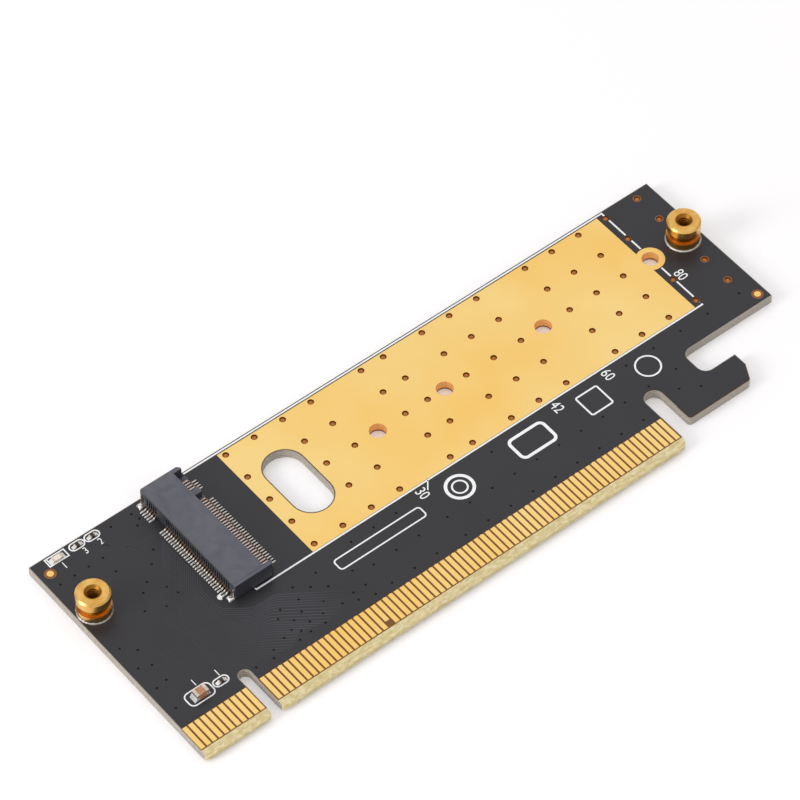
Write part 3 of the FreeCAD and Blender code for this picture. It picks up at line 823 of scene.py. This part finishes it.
# runs of small holes that the lacquer closes: first place in mm from the card's lower left corner, step and
# how many
holeRuns = [
    (36.9, 7.0, 3.95, 0, 3), (49.85, 7.0, 4.0, 0, 9), (36.9, 11.0, 3.95, 0, 3), (49.85, 11.0, 4.0, 0, 9),
    (36.9, 16.0, 3.95, 0, 3), (61.8, 16.0, 0, 0, 1), (86.35, 16.0, 5.05, 0, 4), (107.5, 16.0, 0, 0, 1),
    (86.35, 11.1, 5.05, 0, 2), (89.4, 8.1, 2.7, -1.6, 2), (1.7, 35.3, 2.4, 0, 4), (1.5, 8.9, 0, 4.2, 4),
    (3.3, 13.4, 0, 3.2, 3), (8.9, 32.3, 2.2, -4.1, 3), (13.4, 30.2, 1.7, 1.9, 2), (9.6, 27.0, 3.1, -1.2, 2),
    (7.9, 24.4, 2.8, -1.2, 2), (12.9, 38.9, 3.5, 0, 2), (15.9, 36.8, 0.9, 0.8, 2), (25.9, 14.9, 1.95, -1.45,
                                                                                    3),
    (29.9, 14.9, 0, 0, 1), (25.3, 12.8, 2.4, -2.4, 2), (22.3, 13.0, 2.05, -2.1, 3), (21.1, 11.9, 1.55, -1.5,
                                                                                     4),
    (21.4, 9.3, 0.95, -0.9, 3), (19.8, 8.9, 1.5, -1.6, 2), (16.7, 7.1, 0.8, 1.1, 2), (13.9, 7.4, 0, 0, 1),
    (31.8, 9.0, 2.1, 0, 2), (29.5, 8.5, 2.1, -0.9, 2), (34.0, 6.9, 0, 5.1, 2),
]


def makeCoveredHoles():
    mesh = bmesh.new()
    radius = coveredSizes["radius"] * mm
    section = [(radius, topFace - 0.005 * mm), (radius * 0.8, topFace + coveredSizes["rise"] * mm),
               (radius * 0.3, topFace + coveredSizes["dip"] * mm)]
    for x, y, stepX, stepY, count in holeRuns:
        for i in range(count):
            loops = layDisc(mesh, cardPoint(x + i * stepX, y + i * stepY), section, 12)
            mesh.faces.new(loops[-1])
    makePiece("coveredHoles", mesh, viaLacquer, True)


makeTraces()
makeCoveredHoles()
print("traces done")

solderSizes = {"padOver": 0.16, "padHalf": 0.125, "padHeight": 0.13, "padInset": 0.05, "footReach": 0.75,
               "tipSpan": 0.25, "closeFeet": 0.6, "gapHeight": 0.005, "blobOver": 0.05, "blobHeight": 0.38,
               "blobReach": 0.85}


def layPillow(mesh, x0, x1, y0, y1, height, inset):
    base = [mesh.verts.new((x, y, topFace)) for x, y in ((x0, y0), (x1, y0), (x1, y1), (x0, y1))]
    top = [mesh.verts.new((x, y, topFace + height)) for x, y in
           ((x0 + inset, y0 + inset), (x1 - inset, y0 + inset), (x1 - inset, y1 - inset),
            (x0 + inset, y1 - inset))]
    mesh.faces.new(top)
    for i in range(4):
        mesh.faces.new((base[i], base[(i + 1) % 4], top[(i + 1) % 4], top[i]))


def makeFootSolder():
    # a pillow of solder under each foot of the socket's contacts
    over, half = solderSizes["padOver"] * mm, solderSizes["padHalf"] * mm
    gaps = bmesh.new()
    for piece, name, outward, metal in (("footSolderRear", "m2_upper_contacts", -1, padSolder),
                                        ("footSolderFront", "m2_lower_contacts", 1, dullSolder)):
        mesh = bmesh.new()
        low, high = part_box(name)
        tips = {round(p.y / (0.01 * mm)) for points in islandsOf(name) for p in points
                if p.z < topFace + 0.02 * mm}
        rows = sorted(tips)
        pairs = [(a, b) for a, b in zip(rows, rows[1:]) if (b - a) * 0.01 < solderSizes["tipSpan"]]
        middles = [(a + b) / 2 * 0.01 * mm for a, b in pairs]
        outer = low.x if outward < 0 else high.x
        inner = outer - outward * solderSizes["footReach"] * mm
        x0, x1 = sorted((outer + outward * over, inner))
        for y in middles:
            layPillow(mesh, x0, x1, y - half, y + half, solderSizes["padHeight"] * mm,
                      solderSizes["padInset"] * mm)
        makePiece(piece, mesh, metal)
        # painted shade: a thin, nearly black sheet between feet that lie close together
        for a, b in zip(middles, middles[1:]):
            if b - a < solderSizes["closeFeet"] * mm:
                layPillow(gaps, x0, x1, a + half, b - half, solderSizes["gapHeight"] * mm, 0.0)
    makePiece("paintedGapShade", gaps, gapShade)


def layBlob(mesh, x0, x1, y0, y1, height, seed, steps=14):
    # a lump with a bulging top and an uneven skin, open below
    chance = random.Random(seed)
    waves = [(chance.uniform(2, 6), chance.uniform(2, 6), chance.uniform(0, 6.3)) for wave in range(4)]
    grid = []
    for i in range(steps + 1):
        row = []
        for j in range(steps + 1):
            u, v = i / steps * 2 - 1, j / steps * 2 - 1
            dome = max(0.0, 1 - abs(u) ** 3) ** 0.5 * max(0.0, 1 - abs(v) ** 3) ** 0.5
            ripple = sum(math.sin(a * u + b * v + c) for a, b, c in waves) / 4
            row.append(mesh.verts.new(((x0 + x1) / 2 + u * (x1 - x0) / 2, (y0 + y1) / 2 + v * (y1 - y0) / 2,
                                       topFace + height * dome * (0.75 + 0.25 * ripple))))
        grid.append(row)
    for i in range(steps):
        for j in range(steps):
            mesh.faces.new((grid[i][j], grid[i + 1][j], grid[i + 1][j + 1], grid[i][j + 1]))


def makeAnchorSolder():
    mesh = bmesh.new()
    over = solderSizes["blobOver"] * mm
    for seed, name in enumerate(("m2_anchor_near", "m2_anchor_far")):
        low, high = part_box(name)
        reach = solderSizes["blobReach"] * mm
        layBlob(mesh, low.x - over, low.x + reach, low.y - over * 0.5, high.y + over * 0.5,
                solderSizes["blobHeight"] * mm, 11 + seed)
    makePiece("anchorSolder", mesh, solderMetal, True)


collarSizes = {"steps": 120}


def makeSolderCollar(name, node, standoffNode, rough, seed):
    # the ring of solder at a standoff's foot, uneven where it has crept up and out
    centre = centreOf(standoffNode)
    low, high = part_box(standoffNode)
    wall = (high.x - low.x) / 2
    reach = (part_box(node)[1].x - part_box(node)[0].x) / 2 - wall
    chance = random.Random(seed)
    waves = [(chance.randint(5, 34), chance.uniform(0, 6.3), chance.uniform(0.4, 1.0)) for wave in range(7)]
    total = sum(size for turns, shift, size in waves)
    mesh = bmesh.new()
    rings = []
    for i in range(collarSizes["steps"]):
        angle = 2 * math.pi * i / collarSizes["steps"]
        uneven = sum(size * math.sin(turns * angle + shift) for turns, shift, size in waves) / total
        outer = wall + reach * (1 - rough * (0.5 - 0.5 * uneven))
        climb = (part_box(node)[1].z - topFace) * (0.6 + rough * (0.5 + 0.9 * uneven))
        spots = [(wall - 0.02 * mm, topFace), (outer, topFace),
                 (wall + (outer - wall) * 0.55, topFace + climb * 0.6),
                 (wall - 0.005 * mm, topFace + max(climb, 0.05 * mm))]
        rings.append([mesh.verts.new((centre.x + r * math.cos(angle), centre.y + r * math.sin(angle), z))
                      for r, z in spots])
    for i in range(len(rings)):
        a, b = rings[i], rings[(i + 1) % len(rings)]
        for j in range(4):
            mesh.faces.new((a[j], b[j], b[(j + 1) % 4], a[(j + 1) % 4]))
    piece = makePiece(name, mesh, dullSolder, True)
    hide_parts(node)


threadSizes = {"bore": 0.8, "pitch": 0.4, "depth": 0.13, "stepsPerTurn": 32, "top": 0.6, "bottom": 0.3}


def makeThread(name, node, material):
    # one helical ridge inside the standoff
    low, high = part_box(node)
    centre = centreOf(node)
    start, end = low.z + threadSizes["bottom"] * mm, high.z - threadSizes["top"] * mm
    turns = (end - start) / (threadSizes["pitch"] * mm)
    count = int(turns * threadSizes["stepsPerTurn"])
    half = threadSizes["pitch"] * 0.42 * mm
    radiusMm = threadSizes["bore"]
    runOut = threadSizes["stepsPerTurn"] * 0.6      # the ridge fades in and out over this many steps
    mesh = bmesh.new()
    rows = []
    for i in range(count + 1):
        angle = 2 * math.pi * i / threadSizes["stepsPerTurn"]
        z = start + (end - start) * i / count
        grown = min(1.0, i / runOut, (count - i) / runOut)
        outer, inner = radiusMm * mm + 0.005 * mm, (radiusMm - threadSizes["depth"] * grown + 0.002) * mm
        rows.append([mesh.verts.new((centre.x + r * math.cos(angle), centre.y + r * math.sin(angle), z + dz))
                     for r, dz in ((outer, -half), (inner, -half * 0.15), (inner, half * 0.15),
                                   (outer, half))])
    for a, b in zip(rows, rows[1:]):
        for j in range(4):
            mesh.faces.new((a[j], b[j], b[(j + 1) % 4], a[(j + 1) % 4]))
    mesh.faces.new(rows[0])
    mesh.faces.new(rows[-1])
    makePiece(name, mesh, material, True)


makeFootSolder()
makeAnchorSolder()
makeSolderCollar("solderCollarLeft", "standoff_solder_left", "standoff_left", 0.7, 3)
makeSolderCollar("solderCollarRight", "standoff_solder_right", "standoff_right", 0.25, 8)
makeThread("threadLeft", "standoff_left", brassLeft)
makeThread("threadRight", "standoff_right", brassRight)
print("solder and threads done")


viewSizes = {"place": (-254.02, -320.01, 517.82), "aim": (3.074, 12.152, 0.0), "roll": -1.1585,
             "lens": 213.114}


def makeFloor():
    material = bpy.data.materials.new("paleFloor")
    material.use_nodes = True
    tree = material.node_tree
    tree.nodes.clear()
    output = addNode(tree, "ShaderNodeOutputMaterial")
    ray = addNode(tree, "ShaderNodeLightPath")
    seen = addMath(tree, "MAXIMUM", ray.outputs["Is Camera Ray"], ray.outputs["Is Glossy Ray"])
    seenAll = addMath(tree, "MAXIMUM", seen.outputs[0], ray.outputs["Is Transmission Ray"])
    matt = addNode(tree, "ShaderNodeBsdfDiffuse", {"Color": "#efedee"})
    glow = addNode(tree, "ShaderNodeEmission", {"Color": "#ffffff", "Strength": 0.14})
    both = addNode(tree, "ShaderNodeAddShader", {}, {0: matt.outputs[0], 1: glow.outputs[0]})
    mix = addNode(tree, "ShaderNodeMixShader", {},
                  {0: seenAll.outputs[0], 1: matt.outputs[0], 2: both.outputs[0]})
    tree.links.new(mix.outputs[0], output.inputs["Surface"])
    mesh = bmesh.new()
    reach, level = 3.0, -0.00002
    corners = ((-1, -1), (1, -1), (1, 1), (-1, 1))
    mesh.faces.new([mesh.verts.new((x * reach, y * reach, level)) for x, y in corners])
    data = bpy.data.meshes.new("floor")
    mesh.to_mesh(data)
    mesh.free()
    data.materials.append(material)
    floor = bpy.data.objects.new("floor", data)
    bpy.context.scene.collection.objects.link(floor)


def makeLamp(name, place, power, size, aim=(0, 0, 0)):
    lamp = bpy.data.lights.new(name, "AREA")
    lamp.energy, lamp.size = power, size
    holder = bpy.data.objects.new(name, lamp)
    holder.location = Vector(place)
    holder.rotation_euler = (Vector(aim) - holder.location).to_track_quat("-Z", "Y").to_euler()
    bpy.context.scene.collection.objects.link(holder)


def makeWorld():
    world = bpy.data.worlds.new("studio")
    bpy.context.scene.world = world
    world.use_nodes = True
    tree = world.node_tree
    tree.nodes.clear()
    ray = addNode(tree, "ShaderNodeLightPath")
    height = addNode(tree, "ShaderNodeSeparateXYZ", {},
                     {0: addNode(tree, "ShaderNodeTexCoord").outputs["Generated"]})
    sky = addRamp(tree, height.outputs["Z"], (0.0, "#b8b8ba"), (0.3, "#c8c8ca"), (0.8, "#ffffff"))
    lit = addNode(tree, "ShaderNodeBackground", {"Strength": 1.0}, {"Color": sky.outputs[0]})
    seen = addNode(tree, "ShaderNodeBackground", {"Color": "#ffffff", "Strength": 1.0})
    mix = addNode(tree, "ShaderNodeMixShader", {},
                  {0: ray.outputs["Is Camera Ray"], 1: lit.outputs[0], 2: seen.outputs[0]})
    output = addNode(tree, "ShaderNodeOutputWorld")
    tree.links.new(mix.outputs[0], output.inputs["Surface"])


def makeCamera():
    place = Vector(viewSizes["place"]) * mm
    ahead = (Vector(viewSizes["aim"]) * mm - place).normalized()
    right = ahead.cross(Vector((0, 0, 1))).normalized()
    up = right.cross(ahead)
    roll = math.radians(viewSizes["roll"])
    right, up = right * math.cos(roll) + up * math.sin(roll), up * math.cos(roll) - right * math.sin(roll)
    camera = bpy.data.objects.new("camera", bpy.data.cameras.new("camera"))
    camera.matrix_world = Matrix.Translation(place) @ Matrix((right, up, -ahead)).transposed().to_4x4()
    camera.data.lens, camera.data.sensor_width = viewSizes["lens"], 36.0
    camera.data.clip_start, camera.data.clip_end = 0.01, 20.0
    bpy.context.scene.collection.objects.link(camera)
    bpy.context.scene.camera = camera


makeFloor()
makeLamp("keySoftbox", (-0.8, 0.15, 0.4), 3.4, 0.35)
makeWorld()
makeCamera()
bpy.context.scene.view_settings.view_transform = "Standard"
print("stage done")
